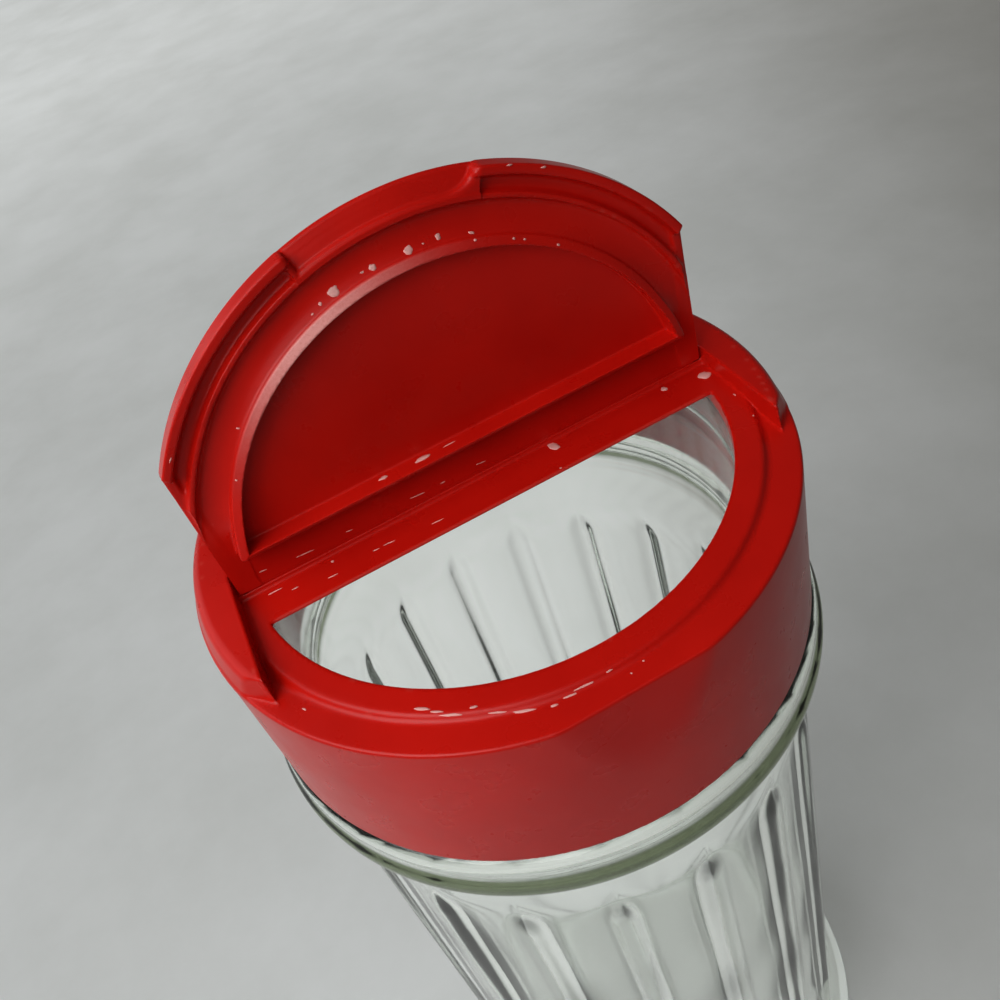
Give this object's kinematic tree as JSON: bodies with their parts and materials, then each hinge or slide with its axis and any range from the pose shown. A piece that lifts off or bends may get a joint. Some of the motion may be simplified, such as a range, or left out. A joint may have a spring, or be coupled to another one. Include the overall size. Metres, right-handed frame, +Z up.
{
  "type": "sugar shaker",
  "caption": "Fluted glass sugar shaker with a red screw closure, whose hinged flap opens over a D-shaped pour opening.",
  "frame": {"origin": "centre of the jar's base, on the table", "axes": "+Z up along the jar's axis, -Y towards the pour opening, +X along the hinge line"},
  "size_m": [0.0734, 0.0734, 0.1884],
  "materials": {
    "clear_glass": "pressed clear glass with a faint green edge",
    "red_plastic": "moulded red polypropylene, satin to gloss"
  },
  "bodies": {
    "jar": {"glass_jar": "clear_glass"},
    "closure": {"closure_body": "red_plastic", "living_hinge": "red_plastic"},
    "flap": {"pour_flap": "red_plastic"}
  },
  "joints": [
    {"name": "closure_turn", "type": "hinge", "parent": "jar", "child": "closure", "pos_m": [0, 0, 0.1546], "axis": [0, 0, 1], "range_deg": [0, 450]},
    {"name": "flap_hinge", "type": "hinge", "parent": "closure", "child": "flap", "pos_m": [0, 0, 0.156], "axis": [-1, 0, 0], "range_deg": [-92, 23]}
  ]
}
